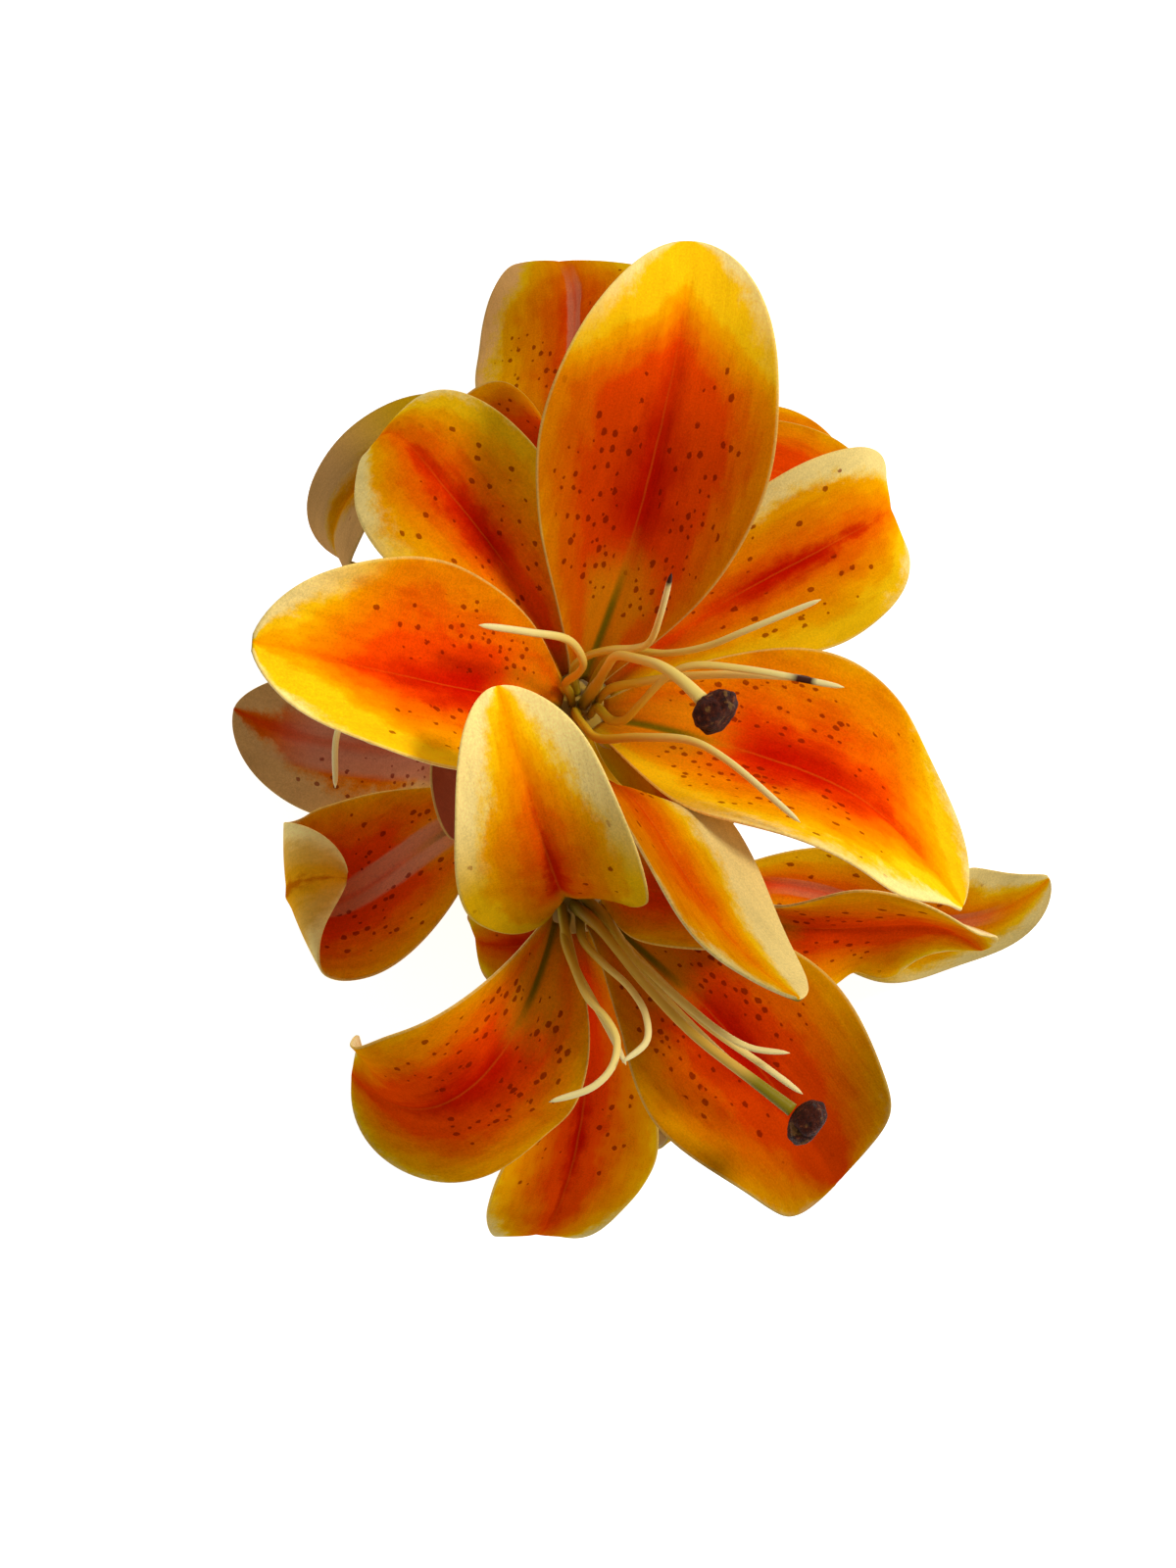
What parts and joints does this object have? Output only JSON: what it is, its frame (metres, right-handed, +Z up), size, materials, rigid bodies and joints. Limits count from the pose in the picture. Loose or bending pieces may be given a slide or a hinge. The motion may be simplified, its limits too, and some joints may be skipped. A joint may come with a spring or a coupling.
{
  "type": "tiger lily",
  "caption": "Cut stem of orange lily lying flat: open blooms with six recurved spotted tepals each, long bare filaments and a dark stigma.",
  "frame": {"origin": "under the middle of the flower's bounding box, on the surface that it lies on", "axes": "+Z up, towards the side that the blooms face; +Y towards the top bloom, away from the cut end of the stem; +X to the right seen from above"},
  "size_m": [0.2168, 0.2502, 0.2125],
  "materials": {
    "inner_tepal": "waxy satin, orange with a red midrib, golden margins and brown spots",
    "outer_tepal": "waxy satin, orange with a red midrib, golden margins and brown spots",
    "filament": "satin, cream to golden",
    "style": "satin, golden to olive",
    "stigma": "rough, dark brown",
    "stem": "matte green"
  },
  "bodies": {
    "root": {"stem": "stem", "front_inner_tepal_1": "inner_tepal", "front_inner_tepal_2": "inner_tepal", "front_inner_tepal_3": "inner_tepal", "front_outer_tepal_1": "outer_tepal", "front_outer_tepal_2": "outer_tepal", "front_outer_tepal_3": "outer_tepal", "front_stamens": "filament", "front_pistil": "style", "front_stigma": "stigma", "lower_inner_tepal_1": "inner_tepal", "lower_inner_tepal_2": "inner_tepal", "lower_inner_tepal_3": "inner_tepal", "lower_outer_tepal_1": "outer_tepal", "lower_outer_tepal_2": "outer_tepal", "lower_outer_tepal_3": "outer_tepal", "lower_stamens": "filament", "lower_pistil": "style", "lower_stigma": "stigma", "left_inner_tepal_1": "inner_tepal", "left_inner_tepal_2": "inner_tepal", "left_inner_tepal_3": "inner_tepal", "left_outer_tepal_1": "outer_tepal", "left_outer_tepal_2": "outer_tepal", "left_outer_tepal_3": "outer_tepal", "left_stamens": "filament", "left_pistil": "style", "left_stigma": "stigma", "right_inner_tepal_1": "inner_tepal", "right_inner_tepal_2": "inner_tepal", "right_inner_tepal_3": "inner_tepal", "right_outer_tepal_1": "outer_tepal", "right_outer_tepal_2": "outer_tepal", "right_outer_tepal_3": "outer_tepal", "right_stamens": "filament", "right_pistil": "style", "right_stigma": "stigma", "top_inner_tepal_1": "inner_tepal", "top_inner_tepal_2": "inner_tepal", "top_inner_tepal_3": "inner_tepal", "top_outer_tepal_1": "outer_tepal", "top_outer_tepal_2": "outer_tepal", "top_outer_tepal_3": "outer_tepal", "top_stamens": "filament", "top_pistil": "style", "top_stigma": "stigma"}
  },
  "joints": []
}
